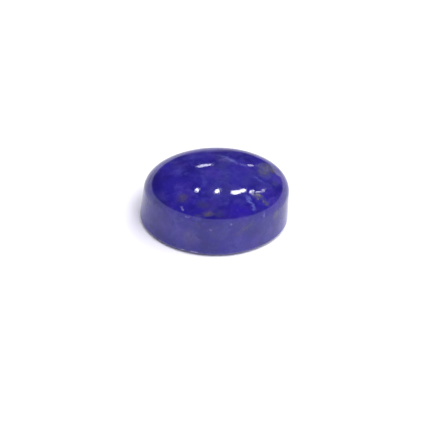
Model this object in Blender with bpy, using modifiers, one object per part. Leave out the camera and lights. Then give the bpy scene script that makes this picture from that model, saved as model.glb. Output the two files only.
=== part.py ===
"""An oval lapis lazuli cabochon: a flat base, a slightly drafted wall and a domed top.

Metres, +Z up. The origin is the centre of the flat base, and +X runs along the longer axis.
The stone is one piece of rock, so it is one closed solid.
"""
import math

import bpy

# Overall size of the stone
LENGTH = 0.0120
WIDTH = 0.0094
HEIGHT = 0.0051

# Its section across the width, from the base up
BASE_EDGE_RADIUS = 0.00014
WALL_HEIGHT = 0.0030
WALL_DRAFT = math.radians(2.5)
SHOULDER_RADIUS = 0.0017

# How finely the rounded parts are cut
BASE_EDGE_STEPS = 2
SHOULDER_STEPS = 9
DOME_STEPS = 9
TURN_STEPS = 84

# Points nearer than this to the axis of the turned form become one point
AXIS_MERGE_DISTANCE = 0.000001

# Polished lapis lazuli, as the photograph shows it
LAPIS_COLOUR = (0.035, 0.030, 0.330, 1.0)
LAPIS_ROUGHNESS = 0.12


def clear_scene():
    """Remove every object that the new file starts with."""
    for old in list(bpy.data.objects):
        bpy.data.objects.remove(old, do_unlink=True)


def arc(centre, radius, start, end, steps):
    """Points on an arc in the section, from the start angle to the end angle, both included."""
    turn = (end - start) / steps
    angles = [start + turn * step for step in range(steps + 1)]
    return [
        (centre[0] + radius * math.cos(angle), centre[1] + radius * math.sin(angle))
        for angle in angles
    ]


def dome_radius(shoulder_centre):
    """Radius of the dome arc that meets the shoulder arc smoothly and tops out at HEIGHT."""
    across, up = shoulder_centre
    drop = HEIGHT - up
    return (across ** 2 + drop ** 2 - SHOULDER_RADIUS ** 2) / (2 * (drop - SHOULDER_RADIUS))


def half_section():
    """Half of the section across the width, as (x, z) points from the apex down to the base."""
    wall_top_x = WIDTH / 2 - WALL_HEIGHT * math.tan(WALL_DRAFT)
    shoulder_centre = (
        wall_top_x - SHOULDER_RADIUS * math.cos(WALL_DRAFT),
        WALL_HEIGHT - SHOULDER_RADIUS * math.sin(WALL_DRAFT),
    )
    radius = dome_radius(shoulder_centre)
    dome_centre = (0.0, HEIGHT - radius)
    dome_end = math.atan2(shoulder_centre[1] - dome_centre[1], shoulder_centre[0])

    dome = arc(dome_centre, radius, math.pi / 2, dome_end, DOME_STEPS)
    shoulder = arc(shoulder_centre, SHOULDER_RADIUS, dome_end, WALL_DRAFT, SHOULDER_STEPS)
    base_edge_centre = (WIDTH / 2 - BASE_EDGE_RADIUS, BASE_EDGE_RADIUS)
    base_edge = arc(base_edge_centre, BASE_EDGE_RADIUS, WALL_DRAFT, -math.pi / 2, BASE_EDGE_STEPS)
    base_centre = (0.0, 0.0)
    return dome + shoulder[1:] + base_edge + [base_centre]


def lapis_material():
    """Deep blue polished stone."""
    material = bpy.data.materials.new("polished_lapis")
    material.use_nodes = True
    shader = material.node_tree.nodes["Principled BSDF"]
    shader.inputs["Base Color"].default_value = LAPIS_COLOUR
    shader.inputs["Roughness"].default_value = LAPIS_ROUGHNESS
    shader.inputs["Metallic"].default_value = 0.0
    material.diffuse_color = LAPIS_COLOUR
    return material


def make_cabochon(collection):
    """Turn the half section about Z, then stretch the round stone into an oval along X."""
    points = [(x, 0.0, z) for x, z in half_section()]
    edges = [(index, index + 1) for index in range(len(points) - 1)]
    mesh = bpy.data.meshes.new("cabochon")
    mesh.from_pydata(points, edges, [])

    stone = bpy.data.objects.new("cabochon", mesh)
    collection.objects.link(stone)
    stone.data.materials.append(lapis_material())
    stone.scale = (LENGTH / WIDTH, 1.0, 1.0)

    turned = stone.modifiers.new("turned_form", "SCREW")
    turned.axis = "Z"
    turned.steps = TURN_STEPS
    turned.render_steps = TURN_STEPS
    turned.use_merge_vertices = True
    turned.merge_threshold = AXIS_MERGE_DISTANCE
    turned.use_smooth_shade = True
    return stone


def build():
    clear_scene()
    collection = bpy.data.collections.new("lapis_lazuli_cabochon")
    bpy.context.scene.collection.children.link(collection)
    make_cabochon(collection)


build()
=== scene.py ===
# %% [markdown]
# # A polished lapis lazuli cabochon
#
# The stone is a loose oval cabochon, about 12 mm long. It is one piece of rock with a flat base,
# a slightly drafted wall and a domed top, ground and polished by hand. Lapis lazuli is a mixture
# of minerals: deep blue lazurite, white calcite in thin veins, grey-green diopside in patches, and
# grains of brassy pyrite. This file makes the stone as one fine mesh and gives it one layered
# material, then sets it on white paper under soft light and a few small lamps.
#
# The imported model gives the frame: its origin is the centre of the flat base, +X runs along the
# longer axis of the oval and +Z points up.

# %% Load the frame
import math

import bpy
import numpy as np
from mathutils import Matrix, Quaternion, Vector, noise


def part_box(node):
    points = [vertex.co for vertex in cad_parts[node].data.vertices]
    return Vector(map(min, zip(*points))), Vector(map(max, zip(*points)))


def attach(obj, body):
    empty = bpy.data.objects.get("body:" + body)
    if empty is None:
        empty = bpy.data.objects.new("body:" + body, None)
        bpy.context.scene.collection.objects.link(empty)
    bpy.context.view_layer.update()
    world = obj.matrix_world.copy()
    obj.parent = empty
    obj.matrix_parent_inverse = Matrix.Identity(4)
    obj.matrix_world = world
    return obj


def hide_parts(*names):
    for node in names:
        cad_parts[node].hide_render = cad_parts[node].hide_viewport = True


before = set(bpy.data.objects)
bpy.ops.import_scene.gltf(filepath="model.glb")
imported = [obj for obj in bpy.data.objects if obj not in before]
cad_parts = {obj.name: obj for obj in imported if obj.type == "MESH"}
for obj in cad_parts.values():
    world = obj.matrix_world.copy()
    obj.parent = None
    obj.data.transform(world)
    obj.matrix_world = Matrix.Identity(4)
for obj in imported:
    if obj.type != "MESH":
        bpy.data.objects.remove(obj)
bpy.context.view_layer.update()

MM = 0.001

stone_low, stone_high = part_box("cabochon")
LENGTH = (stone_high[0] - stone_low[0]) / MM
WIDTH = (stone_high[1] - stone_low[1]) / MM
HEIGHT = (stone_high[2] - stone_low[2]) / MM
print(f"cabochon in the frame: {LENGTH:.2f} x {WIDTH:.2f} x {HEIGHT:.2f} mm")

# %% [markdown]
# ## The section of the stone
#
# A cutter grinds a cabochon in three moves: the wall, the shoulder that rounds the wall over, and
# the long dome. In section these are a straight line and two arcs that meet smoothly. A dome could
# also be a scaled sphere, but a sphere has no wall and no shoulder, and it is the shoulder that
# bends the reflections on a polished stone. So the section is built from its arcs.
#
# The bottom edge is never left sharp, because it would chip. The cutter rolls the wall in with an
# arc and ends it with a narrow bevel under the stone. The bevel keeps the edge just off the table,
# and the gap shows as a thin dark line.
#
# The stone was cut by eye. Its wall stands a little higher at the front than at the back, its
# shoulder is softer at the back, and its plan is not quite an ellipse. So the wall height and the
# shoulder radius change a little on the way round, and the dome arc is worked out again for each
# direction, so that it always ends at the same top.

# %% Sizes of the section, in millimetres
WALL_HEIGHT = 3.0
WALL_DRAFT = math.radians(2.5)
SHOULDER_RADIUS = 1.7
ROLL_RADIUS = 0.36
BEVEL_HEIGHT = 0.11
BEVEL_SLOPE = math.radians(28)

# How far the hand-cut stone strays from the regular one
WALL_RISE_TO_FRONT = 0.20
WALL_TWIST = 0.12
SHOULDER_SOFTER_TO_BACK = 0.37
SHOULDER_TWIST = 0.09

ROLL_RINGS = 16
WALL_RINGS = 30
SHOULDER_RINGS = 44
DOME_RINGS = 52
TURN_STEPS = 400


def wall_height(bearing):
    """Height of the wall in the direction of each bearing, where 90 degrees is the back."""
    return WALL_HEIGHT - WALL_RISE_TO_FRONT * np.sin(bearing) + WALL_TWIST * np.sin(2 * bearing)


def shoulder_radius(bearing):
    """Radius of the shoulder arc in the direction of each bearing."""
    softer = SHOULDER_SOFTER_TO_BACK * np.sin(bearing)
    return SHOULDER_RADIUS + softer - SHOULDER_TWIST * np.sin(2 * bearing)


def wall_half_width(height):
    """Half width of the drafted wall at a height."""
    return WIDTH / 2 - height * math.tan(WALL_DRAFT)


# %% The bottom edge
def bottom_edge():
    """Half width and height of points up the bevel and the roll, and the height they reach."""
    steepest = BEVEL_SLOPE - math.pi / 2
    roll_z = BEVEL_HEIGHT - ROLL_RADIUS * math.sin(steepest)
    roll_top = roll_z + ROLL_RADIUS * math.sin(WALL_DRAFT)
    roll_x = wall_half_width(roll_top) - ROLL_RADIUS * math.cos(WALL_DRAFT)
    bevel_top = roll_x + ROLL_RADIUS * math.cos(steepest)
    edge = [(bevel_top - BEVEL_HEIGHT / math.tan(BEVEL_SLOPE), 0.0)]
    for angle in np.linspace(steepest, WALL_DRAFT, ROLL_RINGS):
        edge.append((roll_x + ROLL_RADIUS * math.cos(angle), roll_z + ROLL_RADIUS * math.sin(angle)))
    return edge, roll_top


# %% Every ring, from the bottom edge to the dome
def section_rings(bearing):
    """Half width and height of every ring, from the base edge up to just below the apex."""
    wall = wall_height(bearing)
    shoulder = shoulder_radius(bearing)
    shoulder_x = wall_half_width(wall) - shoulder * math.cos(WALL_DRAFT)
    shoulder_z = wall - shoulder * math.sin(WALL_DRAFT)
    drop = HEIGHT - shoulder_z
    dome = (shoulder_x ** 2 + drop ** 2 - shoulder ** 2) / (2 * (drop - shoulder))
    meet = np.arctan2(shoulder_z - (HEIGHT - dome), shoulder_x)
    level = np.ones_like(bearing)

    edge, edge_top = bottom_edge()
    rings = [(half_width * level, height * level) for half_width, height in edge]
    for share in np.linspace(0, 1, WALL_RINGS + 2)[1:-1]:
        height = edge_top + share * (wall - edge_top)
        rings.append((wall_half_width(height), height))
    for share in np.linspace(0, 1, SHOULDER_RINGS):
        angle = WALL_DRAFT + share * (meet - WALL_DRAFT)
        rings.append((shoulder_x + shoulder * np.cos(angle), shoulder_z + shoulder * np.sin(angle)))
    for share in np.linspace(0, 1, DOME_RINGS + 1)[1:-1]:
        angle = meet + share * (math.pi / 2 - meet)
        rings.append((dome * np.cos(angle), HEIGHT - dome + dome * np.sin(angle)))
    return rings


bearings = np.linspace(0, 2 * math.pi, TURN_STEPS, endpoint=False)
rings = section_rings(bearings)
print(f"section: {len(rings)} rings of {TURN_STEPS} points, top ring at {rings[-1][1].max():.3f} mm")

# %% [markdown]
# ## One closed skin
#
# The rings become a mesh of four-sided faces. The plan is an ellipse: the half width is stretched
# along X by the ratio of length to width. A Screw modifier could turn the section, but it can't let
# the shoulder change on the way round, so the points are worked out here and joined in a loop. The
# base closes with two flat rings and a centre point, and the dome with its apex.

# %% Join the rings into a mesh
BASE_RING_SHARES = (0.4, 0.75)
PLAN_WAVE = 0.010
PLAN_WAVE_BEARING = math.radians(18)


def ring_points(half_width, height):
    """Points of one ring: an oval with three very low bulges."""
    bulge = 1 + PLAN_WAVE * np.cos(3 * (bearings - PLAN_WAVE_BEARING))
    x = half_width * bulge * (LENGTH / WIDTH) * np.cos(bearings)
    y = half_width * bulge * np.sin(bearings)
    return np.stack([x, y, height], axis=1)


def stone_points():
    """All points in millimetres: base centre, rings from the base to the dome, apex."""
    base_half_width, base_height = rings[0]
    loops = [ring_points(base_half_width * share, base_height) for share in BASE_RING_SHARES]
    loops += [ring_points(*ring) for ring in rings]
    base_centre = np.array([[0.0, 0.0, 0.0]])
    apex = np.array([[0.0, 0.0, HEIGHT]])
    return np.concatenate([base_centre, *loops, apex])


def stone_faces(loop_count):
    """Faces that close the stone, all of them facing out."""
    last = 1 + loop_count * TURN_STEPS
    faces = []
    for step in range(TURN_STEPS):
        after = (step + 1) % TURN_STEPS
        faces.append((0, 1 + after, 1 + step))
        for loop in range(loop_count - 1):
            low = 1 + loop * TURN_STEPS
            high = low + TURN_STEPS
            faces.append((low + step, low + after, high + after, high + step))
        top = last - TURN_STEPS
        faces.append((top + step, top + after, last))
    return faces


points = stone_points()
faces = stone_faces(len(rings) + len(BASE_RING_SHARES))
print(f"stone: {len(points)} points, {len(faces)} faces")

# %% [markdown]
# ## What the hand and the rock leave in the surface
#
# No hand-cut stone is a perfect oval. The wheel leaves a very slow waviness of a few hundredths of
# a millimetre, which a mirror finish shows at once. Softer minerals wear away a little faster than
# lazurite, so a patch of them lies in a shallow hollow. On the back right shoulder the wheel took
# a small flat, which mirrors the bright table behind the stone, and the bottom edge has a row of
# tiny chips.
#
# All of these are real shape, so they are moves of the mesh points and not only bump.

# %% Flats, hollows, chips and the waviness of the wheel
WAVE_DEPTH = 0.012
WAVE_LENGTH = 3.2

# The flat faces this way, and is cut this deep into the round surface
FLAT_DIRECTION = Vector((0.47, 0.04, 0.88)).normalized()
FLAT_DEPTH = 0.035
FLAT_LEAST_SLOPE = 0.5

# Hollows: the middle, the radius and the depth, in millimetres
HOLLOWS = {
    "grey patch at the back right": ((3.9, 0.3, 4.6), 1.2, 0.014),
    "pyrite cluster at the front right": ((2.9, -2.9, 4.4), 0.8, 0.014),
    "olive patch at the front": ((-1.3, -4.0, 4.0), 0.8, 0.012),
    "brown patch at the front left": ((-3.3, -2.8, 4.3), 0.8, 0.012),
}

# Chips: the bearing in degrees, the height above the table and the radius
CHIPS = [
    (231.0, 0.30, 0.08),
    (238.6, 0.33, 0.12),
    (240.0, 0.36, 0.08),
    (246.0, 0.36, 0.10),
    (247.6, 0.32, 0.13),
    (249.4, 0.34, 0.12),
    (250.8, 0.31, 0.09),
]
CHIP_DEPTH_SHARE = 0.35

# Lengths under these count as nothing, in millimetres
BASE_TOLERANCE = 1e-6
SHORTEST_ARROW = 1e-9


def outward(point_array):
    """Direction out of the stone at each point, good enough to push points along."""
    away = point_array / np.array([LENGTH / 2, WIDTH / 2, HEIGHT]) ** 2
    away[:, 2] = np.where(point_array[:, 2] > WALL_HEIGHT, away[:, 2], 0.0)
    return away / np.maximum(np.linalg.norm(away, axis=1, keepdims=True), SHORTEST_ARROW)


def dip(point_array, centre, radius):
    """1 at the centre of a dip, falling smoothly to 0 at its radius."""
    share = np.linalg.norm(point_array - np.array(centre), axis=1) / radius
    return np.clip(1 - share ** 2, 0, 1) ** 2


def wheel_waves(point_array):
    """Slow waviness between -1 and 1, the same for every run."""
    return np.array([noise.noise(Vector(point) / WAVE_LENGTH) for point in point_array])


def chip_spot(degrees, height):
    """A point on the rolled bottom edge of the stone."""
    bearing = math.radians(degrees)
    return (LENGTH / 2 * math.cos(bearing), WIDTH / 2 * math.sin(bearing), height)


def cut_flat(point_array):
    """How far each point stands out of the plane of the flat, measured along the outward way."""
    direction = np.array(FLAT_DIRECTION)
    reach = point_array @ direction
    above = np.maximum(reach - (reach.max() - FLAT_DEPTH), 0)
    return above / np.maximum(outward(point_array) @ direction, FLAT_LEAST_SLOPE)


# %% Wear the surface down
def worn_depth(point_array):
    """How far each point lies below the ideal surface, in millimetres."""
    depth = WAVE_DEPTH * (1 + wheel_waves(point_array))
    for centre, radius, deepest in HOLLOWS.values():
        depth += deepest * dip(point_array, centre, radius)
    for degrees, height, radius in CHIPS:
        depth += CHIP_DEPTH_SHARE * radius * dip(point_array, chip_spot(degrees, height), radius)
    return depth + cut_flat(point_array)


is_base = points[:, 2] < BASE_TOLERANCE
depths = np.where(is_base, 0.0, worn_depth(points))
points = points - outward(points) * depths[:, None]
print(f"deepest mark: {depths.max():.3f} mm")


# %% Make the object
def make_stone():
    """The cabochon as one smooth-shaded mesh object, in metres."""
    mesh = bpy.data.meshes.new("polished_cabochon")
    mesh.from_pydata((points * MM).tolist(), [], faces)
    mesh.validate()
    mesh.shade_smooth()
    stone = bpy.data.objects.new("polished_cabochon", mesh)
    bpy.context.scene.collection.objects.link(stone)
    return stone


stone = make_stone()
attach(stone, "root")
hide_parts("cabochon")
print(f"object: {stone.name}, {len(stone.data.polygons)} faces")

# %% [markdown]
# ## Small helpers for node trees
#
# A layered rock needs many nodes. These helpers keep each step readable: one adds a node, one
# feeds a socket with either a value or another node's output, and the rest wrap the kinds of node
# that come up again and again.


# %% Node helpers
def add(tree, kind, **settings):
    """Add a node and set its properties."""
    made = tree.nodes.new(kind)
    for name, value in settings.items():
        setattr(made, name, value)
    return made


def feed(tree, socket, source):
    """Link the source into the socket, or set it there if it is a plain value."""
    if isinstance(source, bpy.types.NodeSocket):
        tree.links.new(source, socket)
    else:
        socket.default_value = source


def maths(tree, operation, first, second=0.0):
    """One arithmetic step."""
    made = add(tree, "ShaderNodeMath", operation=operation)
    feed(tree, made.inputs[0], first)
    feed(tree, made.inputs[1], second)
    return made.outputs[0]


def vector_maths(tree, operation, first, second=(0.0, 0.0, 0.0)):
    """One vector step with a vector as its result."""
    made = add(tree, "ShaderNodeVectorMath", operation=operation)
    feed(tree, made.inputs[0], first)
    feed(tree, made.inputs[1], second)
    return made.outputs["Vector"]


def scaled(tree, vector, factor):
    """The vector times a number."""
    made = add(tree, "ShaderNodeVectorMath", operation="SCALE")
    feed(tree, made.inputs[0], vector)
    feed(tree, made.inputs["Scale"], factor)
    return made.outputs["Vector"]


def ramp(tree, value, low, high, bottom=0.0, top=1.0):
    """Smooth step of a value: bottom at low, top at high."""
    made = add(tree, "ShaderNodeMapRange", interpolation_type="SMOOTHSTEP")
    feed(tree, made.inputs["Value"], value)
    feed(tree, made.inputs["From Min"], low)
    feed(tree, made.inputs["From Max"], high)
    feed(tree, made.inputs["To Min"], bottom)
    feed(tree, made.inputs["To Max"], top)
    return made.outputs["Result"]


def clouds(tree, place, per_mm, detail=3.0, roughness=0.5):
    """Noise with this many lumps to the millimetre."""
    made = add(tree, "ShaderNodeTexNoise")
    feed(tree, made.inputs["Vector"], place)
    feed(tree, made.inputs["Scale"], per_mm)
    feed(tree, made.inputs["Detail"], detail)
    feed(tree, made.inputs["Roughness"], roughness)
    return made


def three_clouds(tree, place, per_mm, detail=3.0, roughness=0.5):
    """Three noises that know nothing of each other, from one node."""
    made = clouds(tree, place, per_mm, detail, roughness)
    split = add(tree, "ShaderNodeSeparateColor")
    feed(tree, split.inputs["Color"], made.outputs["Color"])
    return split.outputs["Red"], split.outputs["Green"], split.outputs["Blue"]


def lay(tree, below, above, mask, strength=1.0):
    """The lower colour with the upper one laid over it, as strongly as the mask says."""
    made = add(tree, "ShaderNodeMix", data_type="RGBA", clamp_factor=True)
    factor = mask if strength == 1.0 else maths(tree, "MULTIPLY", mask, strength)
    feed(tree, made.inputs["Factor"], factor)
    feed(tree, made.inputs["A"], below)
    feed(tree, made.inputs["B"], above)
    return made.outputs["Result"]


# %% [markdown]
# ## Patches and veins that sit where they do in this stone
#
# The clouds of blue can fall anywhere, but the eye knows a stone by its larger marks: the grey
# patch at the back, the cluster of pyrite, the pale streaks. Each of these is a small node group.
# A patch is an ellipsoid in the rock, so where the surface cuts it there is a rounded mark. A vein
# is a thin rod between two points. Both are measured from a place that noise has moved a little,
# which gives them the ragged outline of a real inclusion.


# %% Node group: a patch
def group_with(name, sockets):
    """An empty node group with these input sockets and one output called Mask."""
    tree = bpy.data.node_groups.new(name, "ShaderNodeTree")
    for socket_name, kind in sockets:
        tree.interface.new_socket(socket_name, in_out="INPUT", socket_type=kind)
    tree.interface.new_socket("Mask", in_out="OUTPUT", socket_type="NodeSocketFloat")
    return tree, tree.nodes.new("NodeGroupInput"), tree.nodes.new("NodeGroupOutput")


def make_patch_group():
    """Mask of an ellipsoid: 1 inside, fading to 0 over the share of its radius called Fade."""
    tree, given, result = group_with("mineral_patch", [
        ("Place", "NodeSocketVector"),
        ("Centre", "NodeSocketVector"),
        ("Half Size", "NodeSocketVector"),
        ("Turn", "NodeSocketVector"),
        ("Fade", "NodeSocketFloat"),
    ])
    from_centre = vector_maths(tree, "SUBTRACT", given.outputs["Place"], given.outputs["Centre"])
    turned = add(tree, "ShaderNodeVectorRotate", rotation_type="EULER_XYZ", invert=True)
    feed(tree, turned.inputs["Vector"], from_centre)
    feed(tree, turned.inputs["Rotation"], given.outputs["Turn"])
    in_radii = vector_maths(tree, "DIVIDE", turned.outputs["Vector"], given.outputs["Half Size"])
    length = add(tree, "ShaderNodeVectorMath", operation="LENGTH")
    feed(tree, length.inputs[0], in_radii)
    inner = maths(tree, "SUBTRACT", 1.0, given.outputs["Fade"])
    mask = ramp(tree, length.outputs["Value"], inner, 1.0, 1.0, 0.0)
    feed(tree, result.inputs["Mask"], mask)
    return tree


patch_group = make_patch_group()


def patch(tree, place, centre, half_size, turn=0.0, fade=0.8):
    """Lay one patch in the rock. Millimetres, and the turn about Z in degrees."""
    made = add(tree, "ShaderNodeGroup", node_tree=patch_group)
    feed(tree, made.inputs["Place"], place)
    feed(tree, made.inputs["Centre"], centre)
    feed(tree, made.inputs["Half Size"], half_size)
    feed(tree, made.inputs["Turn"], (0.0, 0.0, math.radians(turn)))
    feed(tree, made.inputs["Fade"], fade)
    return made.outputs["Mask"]


# %% Node group: a vein
# A vein is whole this far from its middle, and gone this far, as shares of its length
VEIN_WHOLE_WITHIN = 0.25
VEIN_GONE_BEYOND = 0.60


def dot(tree, first, second):
    """Dot product of two vectors."""
    made = add(tree, "ShaderNodeVectorMath", operation="DOT_PRODUCT")
    feed(tree, made.inputs[0], first)
    feed(tree, made.inputs[1], second)
    return made.outputs["Value"]


def make_vein_group():
    """Mask of a thin rod from Start to End that fades out towards both ends."""
    tree, given, result = group_with("calcite_vein", [
        ("Place", "NodeSocketVector"),
        ("Start", "NodeSocketVector"),
        ("End", "NodeSocketVector"),
        ("Half Width", "NodeSocketFloat"),
    ])
    along = vector_maths(tree, "SUBTRACT", given.outputs["End"], given.outputs["Start"])
    reach = vector_maths(tree, "SUBTRACT", given.outputs["Place"], given.outputs["Start"])
    share = maths(tree, "DIVIDE", dot(tree, reach, along), dot(tree, along, along))
    held = add(tree, "ShaderNodeClamp")
    feed(tree, held.inputs["Value"], share)
    nearest = scaled(tree, along, held.outputs["Result"])
    gap = vector_maths(tree, "SUBTRACT", reach, nearest)
    distance = add(tree, "ShaderNodeVectorMath", operation="LENGTH")
    feed(tree, distance.inputs[0], gap)
    across = ramp(tree, distance.outputs["Value"], 0.0, given.outputs["Half Width"], 1.0, 0.0)
    from_middle = maths(tree, "ABSOLUTE", maths(tree, "SUBTRACT", share, 0.5))
    ends = ramp(tree, from_middle, VEIN_WHOLE_WITHIN, VEIN_GONE_BEYOND, 1.0, 0.0)
    feed(tree, result.inputs["Mask"], maths(tree, "MULTIPLY", across, ends))
    return tree


vein_group = make_vein_group()


def vein(tree, place, start, end, half_width):
    """Lay one vein in the rock, in millimetres."""
    made = add(tree, "ShaderNodeGroup", node_tree=vein_group)
    feed(tree, made.inputs["Place"], place)
    feed(tree, made.inputs["Start"], start)
    feed(tree, made.inputs["End"], end)
    feed(tree, made.inputs["Half Width"], half_width)
    return made.outputs["Mask"]


print(f"node groups: {patch_group.name}, {vein_group.name}")

# %% [markdown]
# ## The blue ground
#
# Lazurite is not one blue. It runs from near-black navy to a full ultramarine, and it turns milky,
# violet or greyish where fine calcite and other grains are mixed in. Noise textures at two scales
# choose between these blues. The places that are plainly darker or milkier in this stone are then
# given as patches.

# %% Blues
NAVY = (0.0056, 0.0025, 0.1063, 1.0)
ULTRAMARINE = (0.0137, 0.0081, 0.1812, 1.0)
PURE_BLUE = (0.0125, 0.0037, 0.2188, 1.0)
MILKY_BLUE = (0.0425, 0.0413, 0.2500, 1.0)
VIOLET_BLUE = (0.0475, 0.0250, 0.2313, 1.0)
DARK_VIOLET = (0.0163, 0.0050, 0.1187, 1.0)
GREY_BLUE = (0.0413, 0.0450, 0.1562, 1.0)

# Pools of one blue: the middle, the half sizes and the strength
MILKY_POOLS = {
    "middle of the dome": ((0.3, -0.7, 5.0), (3.6, 2.0, 1.2), 0.35),
    "left of the middle": ((-3.2, 0.3, 4.8), (0.8, 0.8, 0.5), 0.55),
    "streak by the first glint": ((-1.35, -1.3, 5.0), (0.35, 0.9, 0.4), 0.6),
    "behind the front edge": ((1.2, -3.2, 4.5), (0.8, 0.5, 0.4), 0.35),
    "back edge": ((-1.6, 2.0, 4.8), (1.5, 0.7, 0.5), 0.4),
}
NAVY_POOLS = {
    "left end": ((-4.9, -0.2, 4.2), (0.9, 1.8, 0.8), 0.85),
    "behind the left end": ((-4.3, -0.2, 4.6), (0.8, 0.7, 0.5), 0.6),
    "back right edge": ((2.9, 2.2, 4.6), (1.0, 0.5, 0.4), 0.6),
    "front left": ((-2.5, -3.5, 4.3), (0.6, 0.5, 0.4), 0.7),
}
VIOLET_POOLS = {
    "behind the first lamp": ((-0.6, -0.4, 5.1), (1.0, 0.8, 0.4), 0.5),
    "left wall": ((-4.6, -3.0, 2.0), (1.0, 1.3, 1.4), 0.35),
    "right end": ((4.9, -0.4, 4.3), (0.5, 0.7, 0.5), 0.5),
}
DARK_VIOLET_POOLS = {
    "back edge": ((1.1, 2.8, 4.7), (1.5, 0.5, 0.4), 0.7),
    "beside the front vein": ((2.8, -3.8, 4.0), (0.4, 0.5, 0.5), 0.7),
    "front edge": ((-0.1, -4.3, 3.9), (1.0, 0.4, 0.3), 0.5),
}
PURE_POOLS = {
    "front": ((1.3, -3.9, 4.1), (1.3, 0.7, 0.6), 0.8),
    "back left": ((-3.9, 1.3, 4.6), (0.7, 0.6, 0.4), 0.7),
}

# Lumps to the millimetre of the noises, and how far the first one shifts an outline
DRIFT_PER_MM = 1.3
DRIFT_REACH = 0.9
BROAD_BLUES_PER_MM = 0.5
FINE_BLUES_PER_MM = 1.2


# %% Mix the blues
def rock_place(tree):
    """The place in the rock in millimetres, plain and with the wandering that roughens outlines."""
    where = add(tree, "ShaderNodeTexCoord")
    plain = scaled(tree, where.outputs["Object"], 1 / MM)
    drift = clouds(tree, plain, DRIFT_PER_MM, detail=5.0, roughness=0.65)
    centred = vector_maths(tree, "SUBTRACT", drift.outputs["Color"], (0.5, 0.5, 0.5))
    wandering = vector_maths(tree, "ADD", plain, scaled(tree, centred, DRIFT_REACH))
    return plain, wandering


def lay_pools(tree, colour, place, blue, pools):
    """Lay every pool of one blue over the colour."""
    for centre, half_size, strength in pools.values():
        colour = lay(tree, colour, blue, patch(tree, place, centre, half_size, fade=1.0), strength)
    return colour


def blue_ground(tree, place):
    """The lazurite, before any other mineral."""
    depth, violet, grey = three_clouds(tree, place, BROAD_BLUES_PER_MM, detail=3.0)
    fine_noises = three_clouds(tree, place, FINE_BLUES_PER_MM, detail=5.0, roughness=0.6)
    milk, more_violet, more_ultramarine = fine_noises
    colour = lay(tree, NAVY, ULTRAMARINE, ramp(tree, depth, 0.36, 0.58, 0.35, 1.0))
    colour = lay_pools(tree, colour, place, MILKY_BLUE, MILKY_POOLS)
    colour = lay_pools(tree, colour, place, VIOLET_BLUE, VIOLET_POOLS)
    colour = lay(tree, colour, VIOLET_BLUE, ramp(tree, violet, 0.50, 0.68), 0.35)
    colour = lay(tree, colour, GREY_BLUE, ramp(tree, grey, 0.52, 0.70), 0.35)
    colour = lay(tree, colour, MILKY_BLUE, ramp(tree, milk, 0.48, 0.68), 0.45)
    colour = lay(tree, colour, VIOLET_BLUE, ramp(tree, more_violet, 0.50, 0.70), 0.35)
    colour = lay(tree, colour, ULTRAMARINE, ramp(tree, more_ultramarine, 0.52, 0.70), 0.5)
    colour = lay_pools(tree, colour, place, NAVY, NAVY_POOLS)
    colour = lay_pools(tree, colour, place, DARK_VIOLET, DARK_VIOLET_POOLS)
    return lay_pools(tree, colour, place, PURE_BLUE, PURE_POOLS)


BLUE_POOLS = (MILKY_POOLS, NAVY_POOLS, VIOLET_POOLS, DARK_VIOLET_POOLS, PURE_POOLS)
print(f"pools of blue: {sum(len(pools) for pools in BLUE_POOLS)}")

# %% [markdown]
# ## The other minerals
#
# Over the blue lie the minerals that make each stone its own. Diopside gives soft grey-green
# patches, iron gives them an olive or brown stain, and calcite gives pale blue streaks and a few
# light flecks. Two lavender smears on the shoulder are no mineral but painted highlights, glints
# of light. Pyrite sits in one cluster as small gold grains. Every mark is broken up by a fine
# noise, because a real patch is a crowd of grains and never a flat colour.

# %% Marks of the other minerals
GREY_GREEN = (0.0700, 0.0688, 0.1063, 1.0)
DARK_GREY = (0.0238, 0.0238, 0.0600, 1.0)
OLIVE = (0.0775, 0.0700, 0.0550, 1.0)
STONE_BROWN = (0.0450, 0.0363, 0.0750, 1.0)
PALE_BLUE = (0.1187, 0.1375, 0.4250, 1.0)
LAVENDER = (0.1500, 0.1313, 0.3250, 1.0)
BRASS = (0.3200, 0.2600, 0.1300, 1.0)
CHIP_WHITE = (0.3200, 0.2900, 0.4000, 1.0)

# Marks: the middle, the half sizes, the turn about Z in degrees and the strength
GREY_MARKS = {
    "back right": ((3.8, 0.25, 4.65), (0.95, 1.3, 0.8), -20, 0.9),
    "out to the back right edge": ((4.3, 0.8, 4.5), (0.8, 0.7, 0.6), 0, 0.8),
    "cluster": ((2.75, -2.7, 4.5), (0.70, 0.50, 0.5), 0, 0.8),
    "cluster, outer part": ((3.5, -3.1, 4.2), (0.45, 0.40, 0.4), 0, 0.9),
    "wall, right": ((4.3, -3.05, 2.8), (0.55, 0.55, 0.6), 0, 0.6),
    "wall, left of the middle": ((-2.6, -4.2, 1.8), (1.2, 0.9, 1.0), 0, 0.35),
    "right of the back patch": ((4.45, -1.1, 4.4), (0.35, 0.40, 0.4), 0, 0.45),
}
DARK_MARKS = {
    "front": ((-1.75, -3.4, 4.4), (0.65, 0.50, 0.4), 0, 0.8),
    "front, right part": ((-0.5, -4.1, 4.05), (0.60, 0.45, 0.4), 0, 0.8),
    "left patch": ((-3.25, -2.7, 4.4), (0.80, 0.85, 0.5), 0, 0.45),
}
BROWN_MARKS = {
    "left patch": ((-3.15, -2.6, 4.45), (0.45, 0.60, 0.4), 0, 0.8),
    "front edge": ((-2.1, -4.05, 3.85), (0.40, 0.25, 0.25), 0, 0.6),
    "back right edge": ((4.2, 1.05, 4.45), (0.50, 0.22, 0.25), -45, 0.9),
    "inside the flat": ((4.65, 0.05, 4.45), (0.50, 0.16, 0.25), -25, 0.9),
    "wall": ((-2.2, -4.25, 3.0), (0.35, 0.30, 0.30), 0, 0.35),
}
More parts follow.
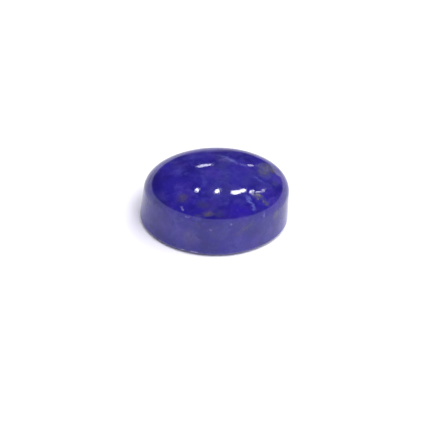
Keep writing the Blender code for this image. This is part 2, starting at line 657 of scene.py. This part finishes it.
OLIVE_MARKS = {
    "front": ((-1.3, -4.0, 4.05), (0.70, 0.40, 0.35), 0, 0.9),
    "back right": ((4.4, 0.4, 4.5), (0.30, 0.35, 0.30), 0, 0.8),
    "cluster": ((3.0, -2.65, 4.5), (0.28, 0.28, 0.30), 0, 0.8),
}
# The pale set holds calcite flecks and two smears that are painted highlights: lavender glints on
# the shoulder, where it meets the wall.
PALE_FLECKS_AND_GLINTS = {
    "behind the back vein": ((0.9, 1.3, 5.0), (0.90, 0.55, 0.4), 0, 0.25),
    "speck by the left patch": ((-3.2, -3.3, 4.05), (0.22, 0.12, 0.2), -50, 0.8),
    "in the cluster": ((3.0, -3.25, 4.3), (0.25, 0.20, 0.25), 0, 0.4),
    "in the back patch": ((4.0, 0.35, 4.6), (0.16, 0.35, 0.3), 0, 0.3),
    "speck on the wall": ((-1.08, -4.5, 2.8), (0.16, 0.2, 0.11), 0, 0.8),
    "speck over the wall": ((0.39, -4.5, 3.37), (0.14, 0.2, 0.10), 0, 0.8),
    "painted shoulder glint, left": ((-2.9, -3.9, 3.65), (0.34, 0.3, 0.14), 0, 0.45),
    "painted shoulder glint, right": ((3.2, -3.8, 3.4), (0.22, 0.3, 0.30), 0, 0.45),
}

# Veins: start, end, half width and strength
VEINS = {
    "back, upper half": ((0.3, 2.0, 4.95), (1.7, 1.05, 5.0), 0.26, 0.45),
    "back, lower half": ((1.1, 1.25, 5.0), (2.45, 0.35, 4.95), 0.28, 0.65),
    "front": ((1.65, -2.45, 4.7), (2.4, -3.9, 4.0), 0.24, 0.6),
    "below the back patch": ((2.8, -0.7, 4.8), (3.5, -1.3, 4.65), 0.18, 0.5),
    "beside the cluster": ((3.7, -2.9, 4.15), (4.7, -2.2, 4.05), 0.18, 0.6),
}
WALL_PATCH_START = (0.7, -4.55, 2.0)
WALL_PATCH_END = (2.35, -4.2, 3.1)
WALL_PATCH_HALF_WIDTH = 0.38
WALL_PATCH_STRENGTH = 0.6

# The pyrite: where its cluster is, how many cells hold a grain, and the grains' sizes in cells
CLUSTER_CENTRE = (2.9, -2.8, 4.4)
CLUSTER_HALF_SIZE = (0.75, 0.65, 0.5)
CLUSTER_RICHNESS = 0.35
GRAIN_CELLS_PER_MM = 7.0
GRAIN_SMALLEST = 0.20
GRAIN_LARGEST = 0.40


# %% Lay the marks, veins and grains
def lay_marks(tree, colour, place, broken, mineral, marks):
    """Lay every mark of one colour over the colour: a mineral, and in the pale set also painted
    glints. Returns the colour and where the marks are.
    """
    everywhere = 0.0
    for centre, half_size, turn, strength in marks.values():
        mask = maths(tree, "MULTIPLY", patch(tree, place, centre, half_size, turn), broken)
        colour = lay(tree, colour, mineral, mask, strength)
        everywhere = maths(tree, "MAXIMUM", mask, everywhere)
    return colour, everywhere


def lay_veins(tree, colour, place, broken):
    """Lay the pale calcite veins, and the grey streak of the wall."""
    for start, end, half_width, strength in VEINS.values():
        mask = maths(tree, "MULTIPLY", vein(tree, place, start, end, half_width), broken)
        colour = lay(tree, colour, PALE_BLUE, mask, strength)
    streak = vein(tree, place, WALL_PATCH_START, WALL_PATCH_END, WALL_PATCH_HALF_WIDTH)
    streak = maths(tree, "MULTIPLY", streak, broken)
    return lay(tree, colour, GREY_GREEN, streak, WALL_PATCH_STRENGTH)


def pyrite_grains(tree, plain, richness):
    """Small angular grains of pyrite, many where the richness is high."""
    cells = add(tree, "ShaderNodeTexVoronoi", feature="F1", distance="CHEBYCHEV")
    feed(tree, cells.inputs["Vector"], plain)
    feed(tree, cells.inputs["Scale"], GRAIN_CELLS_PER_MM)
    chance = add(tree, "ShaderNodeSeparateColor")
    feed(tree, chance.inputs["Color"], cells.outputs["Color"])
    chosen = maths(tree, "LESS_THAN", chance.outputs["Red"], richness)
    size = ramp(tree, chance.outputs["Green"], 0.0, 1.0, GRAIN_SMALLEST, GRAIN_LARGEST)
    body = maths(tree, "LESS_THAN", cells.outputs["Distance"], size)
    return maths(tree, "MULTIPLY", chosen, body)


MINERAL_MARKS_AND_GLINTS = (GREY_MARKS, DARK_MARKS, BROWN_MARKS, OLIVE_MARKS, PALE_FLECKS_AND_GLINTS)
print(f"mineral marks: {sum(len(marks) for marks in MINERAL_MARKS_AND_GLINTS)}, veins: {len(VEINS)}")


# %% [markdown]
# ## The polish
#
# Polished lapis is glossy but not glass: lazurite takes the best polish, calcite and diopside a
# duller one, pyrite stays bright. The surface has the very small lumps that a soft polishing pad
# leaves, and fine pits in the soft patches. The rolled bottom edge is only half polished, so it is
# frosted; its paler colour is partly the frost and partly a painted highlight, the light line along
# the edge. Fresh chips in it are pale. The underside was lapped flat, so it is matt.

# %% Finishes of the stone
STONE_IOR = 1.5

# Roughness
POLISHED = 0.06
PATCH_DULLNESS = 0.14
FROSTED = 0.30
LAPPED = 0.55

# Heights of the frosted edge band, paler partly from frost and partly as painted highlight, and of
# the underside, in millimetres
EDGE_FROST_AND_SHEEN_TOP = 0.55
EDGE_FROST_AND_SHEEN_FULL = 0.35
UNDERSIDE_HEIGHT = 0.004

# How strongly each finish shows over the rock, and how far a chip's colour spreads past it
# The lavender laid on the bottom edge is partly frost and partly a painted highlight: the light line
# of the edge.
FROST_AND_SHEEN_STRENGTH = 0.25
CHIP_STRENGTH = 0.8
CHIP_SPREAD = 1.3
UNDERSIDE_STRENGTH = 0.4
BRASS_STRENGTH = 0.7
BRASS_METALLIC = 0.6
DARKEST_SHADE = 0.86
LIGHTEST_SHADE = 1.14

# Lumps to the millimetre of the noises, and heights of the bumps in metres
MOTTLE_PER_MM = 2.8
FINE_PER_MM = 9.0
PAD_LUMPS_PER_MM = 2.2
PAD_LUMP_HEIGHT = 0.000004
PITS_PER_MM = 11.0
PIT_DEPTH = 0.000008


def rock_colour(tree, plain, wandering):
    """Colour of the rock, where the grey minerals are, and where pyrite is."""
    mottle = clouds(tree, wandering, MOTTLE_PER_MM, detail=5.0, roughness=0.7).outputs["Fac"]
    broken = ramp(tree, mottle, 0.36, 0.62, 0.35, 1.0)
    colour = blue_ground(tree, wandering)
    colour, grey = lay_marks(tree, colour, wandering, broken, GREY_GREEN, GREY_MARKS)
    colour, dark = lay_marks(tree, colour, wandering, broken, DARK_GREY, DARK_MARKS)
    colour, _ = lay_marks(tree, colour, wandering, broken, STONE_BROWN, BROWN_MARKS)
    colour, _ = lay_marks(tree, colour, wandering, broken, OLIVE, OLIVE_MARKS)
    # Pale calcite flecks, and the two painted highlights on the shoulder, laid on as lavender
    # colour.
    colour, _ = lay_marks(tree, colour, wandering, 1.0, LAVENDER, PALE_FLECKS_AND_GLINTS)
    colour = lay_veins(tree, colour, wandering, broken)

    cluster = patch(tree, wandering, CLUSTER_CENTRE, CLUSTER_HALF_SIZE)
    grains = pyrite_grains(tree, plain, maths(tree, "MULTIPLY", cluster, CLUSTER_RICHNESS))
    colour = lay(tree, colour, BRASS, grains, BRASS_STRENGTH)
    return colour, maths(tree, "MAXIMUM", grey, dark), grains


def chip_mask(tree, plain):
    """Where the bottom edge is chipped."""
    chips = 0.0
    for degrees, height, radius in CHIPS:
        size = (radius * CHIP_SPREAD, radius * CHIP_SPREAD, radius)
        chips = maths(tree, "MAXIMUM", patch(tree, plain, chip_spot(degrees, height), size), chips)
    return chips


# %% The lapis material
def lapis_material():
    """All layers of the stone on one shader."""
    material = bpy.data.materials.new("polished_lapis")
    material.use_nodes = True
    tree = material.node_tree
    shader = tree.nodes["Principled BSDF"]
    shader.inputs["IOR"].default_value = STONE_IOR

    plain, wandering = rock_place(tree)
    colour, grey, grains = rock_colour(tree, plain, wandering)
    height = add(tree, "ShaderNodeSeparateXYZ")
    feed(tree, height.inputs["Vector"], plain)
    fine = clouds(tree, plain, FINE_PER_MM, detail=3.0, roughness=0.6).outputs["Fac"]
    frost_and_sheen = ramp(tree, height.outputs["Z"], EDGE_FROST_AND_SHEEN_FULL, EDGE_FROST_AND_SHEEN_TOP, 1.0, 0.0)
    frost_and_sheen = maths(tree, "MULTIPLY", frost_and_sheen, ramp(tree, fine, 0.35, 0.65))
    chips = chip_mask(tree, plain)
    underside = maths(tree, "LESS_THAN", height.outputs["Z"], UNDERSIDE_HEIGHT)

    # Paler bottom edge: frost, and a painted highlight for the light line along the rolled edge.
    colour = lay(tree, colour, LAVENDER, frost_and_sheen, FROST_AND_SHEEN_STRENGTH)
    colour = lay(tree, colour, CHIP_WHITE, chips, CHIP_STRENGTH)
    colour = lay(tree, colour, GREY_BLUE, underside, UNDERSIDE_STRENGTH)
    shade = add(tree, "ShaderNodeHueSaturation")
    feed(tree, shade.inputs["Color"], colour)
    brightness = ramp(tree, fine, 0.3, 0.7, DARKEST_SHADE, LIGHTEST_SHADE)
    feed(tree, shade.inputs["Value"], brightness)
    feed(tree, shader.inputs["Base Color"], shade.outputs["Color"])
    feed(tree, shader.inputs["Metallic"], maths(tree, "MULTIPLY", grains, BRASS_METALLIC))

    polish = maths(tree, "ADD", maths(tree, "MULTIPLY", grey, PATCH_DULLNESS), POLISHED)
    polish = maths(tree, "MAXIMUM", polish, maths(tree, "MULTIPLY", frost_and_sheen, FROSTED))
    polish = maths(tree, "MAXIMUM", polish, maths(tree, "MULTIPLY", chips, LAPPED))
    polish = maths(tree, "MAXIMUM", polish, maths(tree, "MULTIPLY", underside, LAPPED))
    feed(tree, shader.inputs["Roughness"], polish)
    feed(tree, shader.inputs["Normal"], surface_texture(tree, plain, grey))
    return material


def surface_texture(tree, plain, grey):
    """Lumps of the polishing pad all over, and pits in the grey patches."""
    lumps = add(tree, "ShaderNodeBump")
    pad = clouds(tree, plain, PAD_LUMPS_PER_MM, detail=2.0).outputs["Fac"]
    feed(tree, lumps.inputs["Height"], pad)
    feed(tree, lumps.inputs["Distance"], PAD_LUMP_HEIGHT)
    pits = clouds(tree, plain, PITS_PER_MM, detail=4.0, roughness=0.7).outputs["Fac"]
    pitted = add(tree, "ShaderNodeBump")
    feed(tree, pitted.inputs["Height"], maths(tree, "MULTIPLY", pits, grey))
    feed(tree, pitted.inputs["Distance"], PIT_DEPTH)
    feed(tree, pitted.inputs["Normal"], lumps.outputs["Normal"])
    return pitted.outputs["Normal"]


stone.data.materials.append(lapis_material())
print(f"material: {len(stone.data.materials[0].node_tree.nodes)} nodes")

# %% [markdown]
# ## The paper
#
# The stone lies on plain white paper. A large flat sheet is enough, because its edge is never seen.
# It matters twice: it is the background, and the wall of the stone mirrors it, which is what makes
# the wall look paler than the dome.

# %% Floor
FLOOR_HALF_SIZE = 1.5
PAPER_GAP = 0.00001
PAPER_LIGHT = (0.88, 0.88, 0.89, 1.0)
PAPER_DARK = (0.85, 0.85, 0.86, 1.0)
PAPER_ROUGHNESS = 0.9
PAPER_SHINE = 0.1
TOOTH_PER_METRE = 900.0


def paper_material():
    """Matt white paper with a very slight tooth."""
    material = bpy.data.materials.new("white_paper")
    material.use_nodes = True
    tree = material.node_tree
    shader = tree.nodes["Principled BSDF"]
    shader.inputs["Roughness"].default_value = PAPER_ROUGHNESS
    shader.inputs["Specular IOR Level"].default_value = PAPER_SHINE
    where = add(tree, "ShaderNodeTexCoord")
    tooth = clouds(tree, where.outputs["Object"], TOOTH_PER_METRE, detail=3.0)
    colour = lay(tree, PAPER_DARK, PAPER_LIGHT, tooth.outputs["Fac"])
    feed(tree, shader.inputs["Base Color"], colour)
    return material


def make_floor():
    """A square of paper just under the stone."""
    half = FLOOR_HALF_SIZE
    corners = [(-half, -half, 0), (half, -half, 0), (half, half, 0), (-half, half, 0)]
    mesh = bpy.data.meshes.new("paper_floor")
    mesh.from_pydata(corners, [], [(0, 1, 2, 3)])
    floor = bpy.data.objects.new("paper_floor", mesh)
    floor.location.z = -PAPER_GAP
    floor.data.materials.append(paper_material())
    bpy.context.scene.collection.objects.link(floor)
    return floor


make_floor()
print(f"paper: {2 * FLOOR_HALF_SIZE:.1f} m square")

# %% [markdown]
# ## The camera
#
# The photograph looks down at the stone from a little to the left of its front, with the camera
# turned slightly about its own axis. A long lens from 150 mm away gives the same calm perspective
# as a close-up picture of a small stone.

# %% Camera
CAMERA_AZIMUTH = math.radians(-12.4)
CAMERA_ELEVATION = math.radians(39.3)
CAMERA_ROLL = math.radians(6.1)
CAMERA_DISTANCE = 150.0
CAMERA_TARGET = Vector((0.0, 0.0, 2.4))
CAMERA_LENS = 157.6

# The stone sits a little above the middle of the picture
AIM_RIGHT = -0.07
AIM_UP = -1.54


def direction(azimuth, elevation):
    """Unit vector from the stone. Azimuth 0 is the front, and it turns towards +X."""
    level = math.cos(elevation)
    return Vector((
        math.sin(azimuth) * level,
        -math.cos(azimuth) * level,
        math.sin(elevation),
    ))


def camera_position():
    """Where the camera stands, in millimetres."""
    return CAMERA_TARGET + direction(CAMERA_AZIMUTH, CAMERA_ELEVATION) * CAMERA_DISTANCE


def make_camera():
    """The photograph's viewing angle and framing."""
    data = bpy.data.cameras.new("camera")
    data.lens = CAMERA_LENS
    data.clip_start = 0.01
    data.clip_end = 10.0
    camera = bpy.data.objects.new("camera", data)
    position = camera_position()
    roll = Quaternion((0, 0, 1), CAMERA_ROLL)
    straight = (CAMERA_TARGET - position).to_track_quat("-Z", "Y")
    aim = CAMERA_TARGET + straight @ roll @ Vector((AIM_RIGHT, AIM_UP, 0))
    camera.location = position * MM
    camera.rotation_mode = "QUATERNION"
    camera.rotation_quaternion = (aim - position).to_track_quat("-Z", "Y") @ roll
    bpy.context.scene.collection.objects.link(camera)
    bpy.context.scene.camera = camera
    return camera


camera = make_camera()
print(f"camera: {tuple(round(value, 4) for value in camera.location)} m, {CAMERA_LENS} mm lens")

# %% [markdown]
# ## The light
#
# Three kinds of light make this picture.
#
# The room is what the polish mirrors. The dome looks up into a dim room, and the rim at the back
# looks along the table into white, so the world is dim above and bright near the horizon.
#
# Two softboxes light the paper until it is white. They light the rock as well, but they are kept
# out of its reflections, because a softbox over a dome shows as one large white window.
#
# Small lamps high behind the stone give the chain of glints. A glint obeys the law of reflection:
# the angle in equals the angle out. So each lamp is placed and sized by naming the spots on the
# dome that its glint covers, and following the mirrored lines of sight out into the room.

# %% The room
GLOW_TOP = math.radians(7)
GLOW_FADE = math.radians(15)
TABLE_GLOW = (1.35, 1.30, 1.50, 1.0)
DIM_ROOM = (0.13, 0.12, 0.18, 1.0)


def make_room():
    """World that is white near the horizon and dim above it."""
    world = bpy.data.worlds.new("dim_room")
    world.use_nodes = True
    tree = world.node_tree
    where = add(tree, "ShaderNodeTexCoord")
    rise = add(tree, "ShaderNodeSeparateXYZ")
    feed(tree, rise.inputs["Vector"], where.outputs["Generated"])
    above = ramp(tree, rise.outputs["Z"], math.sin(GLOW_TOP), math.sin(GLOW_FADE))
    background = tree.nodes["Background"]
    feed(tree, background.inputs["Color"], lay(tree, TABLE_GLOW, DIM_ROOM, above))
    bpy.context.scene.world = world


make_room()
print(f"room: {bpy.context.scene.world.name}")

# %% Softboxes
SOFTBOX_DISTANCE = 0.8
PAPER_ALBEDO = 0.86


def area_light(name, place, turn, size_x, size_y, radiance, tint):
    """A rectangular light of an even brightness."""
    data = bpy.data.lights.new(name, "AREA")
    data.shape = "RECTANGLE"
    data.size = size_x
    data.size_y = size_y
    data.color = tint
    data.energy = radiance * size_x * size_y * math.pi
    light = bpy.data.objects.new(name, data)
    light.matrix_world = Matrix.Translation(place) @ turn.to_matrix().to_4x4()
    bpy.context.scene.collection.objects.link(light)
    return light


def make_softbox(name, azimuth, elevation, size, paper_brightness, tint):
    """A soft square light that brings the paper to a brightness, and that nothing mirrors."""
    towards = direction(math.radians(azimuth), math.radians(elevation))
    solid_angle = (size / SOFTBOX_DISTANCE) ** 2
    radiance = paper_brightness * math.pi / (PAPER_ALBEDO * solid_angle * towards.z)
    turn = towards.to_track_quat("Z", "Y")
    light = area_light(name, towards * SOFTBOX_DISTANCE, turn, size, size, radiance, tint)
    light.visible_glossy = False
    return light


make_softbox("softbox_front", -5, 66, 0.60, 0.82, (0.96, 0.95, 1.0))
make_softbox("softbox_right", 75, 58, 0.55, 0.42, (1.0, 1.0, 1.0))

# %% Lamps placed by their glints
LAMP_DISTANCE = 600.0
NEARBY = 0.12


def surface_at(spot):
    """Point and normal of the dome at a spot seen from above, in millimetres."""
    gaps = np.linalg.norm(points[:, :2] - np.array(spot), axis=1)
    gaps = np.where(points[:, 2] > WALL_HEIGHT, gaps, np.inf)
    near = np.flatnonzero(gaps < NEARBY)
    weights = (1 - gaps[near] / NEARBY) ** 2
    height = np.average(points[near, 2], weights=weights)
    normals = np.array([stone.data.vertices[int(index)].normal for index in near])
    normal = Vector(np.average(normals, axis=0, weights=weights)).normalized()
    return Vector((spot[0], spot[1], height)), normal


def mirrored_place(spot):
    """The place in the room that the camera sees mirrored at this spot of the dome."""
    point, normal = surface_at(spot)
    sight = (point - camera_position()).normalized()
    return point + sight.reflect(normal) * LAMP_DISTANCE


def make_lamp(name, middle, half_length, half_width, brightness, slant=0.0, tint=(1.0, 1.0, 1.0)):
    """A lamp whose glint has this middle and these half sizes on the dome, in millimetres."""
    turn = math.radians(slant)
    lengthwise = Vector((math.cos(turn), math.sin(turn))) * half_length
    crosswise = Vector((-math.sin(turn), math.cos(turn))) * half_width
    centre = Vector(middle)
    long_span = mirrored_place(centre + lengthwise) - mirrored_place(centre - lengthwise)
    short_span = mirrored_place(centre + crosswise) - mirrored_place(centre - crosswise)
    place = mirrored_place(centre)
    facing = place.normalized()
    side = (long_span - facing * long_span.dot(facing)).normalized()
    frame_turn = Matrix((side, facing.cross(side), facing)).transposed().to_quaternion()
    size_x = long_span.length * MM
    size_y = short_span.length * MM
    lamp = area_light(name, place * MM, frame_turn, size_x, size_y, brightness, tint)
    lamp.data.shape = "ELLIPSE"
    lamp.data.energy *= math.pi / 4
    return lamp


WINDOW_TINT = (0.86, 0.84, 1.0)
make_lamp("lamp_1", (-2.00, -2.07), 0.13, 0.17, 26)
make_lamp("lamp_2", (-0.44, -2.34), 0.19, 0.21, 28)
make_lamp("lamp_3", (1.00, -2.46), 0.34, 0.20, 28, slant=12)
make_lamp("lamp_4", (1.50, -2.26), 0.34, 0.12, 26, slant=22)
make_lamp("lamp_5", (2.31, -2.25), 0.10, 0.13, 26)
make_lamp("lamp_6", (2.72, -2.26), 0.08, 0.11, 26)
make_lamp("lamp_7", (3.33, -2.03), 0.08, 0.11, 26)
make_lamp("window_left", (-1.05, 0.62), 0.62, 0.13, 11, slant=9, tint=WINDOW_TINT)
make_lamp("window_right", (2.75, 0.66), 0.28, 0.10, 8, slant=-15, tint=WINDOW_TINT)
print(f"lights: {len(bpy.data.lights)}")

# %% [markdown]
# ## Colour and the end
#
# The plain display transform keeps the paper white and the blue as deep as in the photograph.

# %% Display transform
bpy.context.scene.view_settings.view_transform = "Standard"
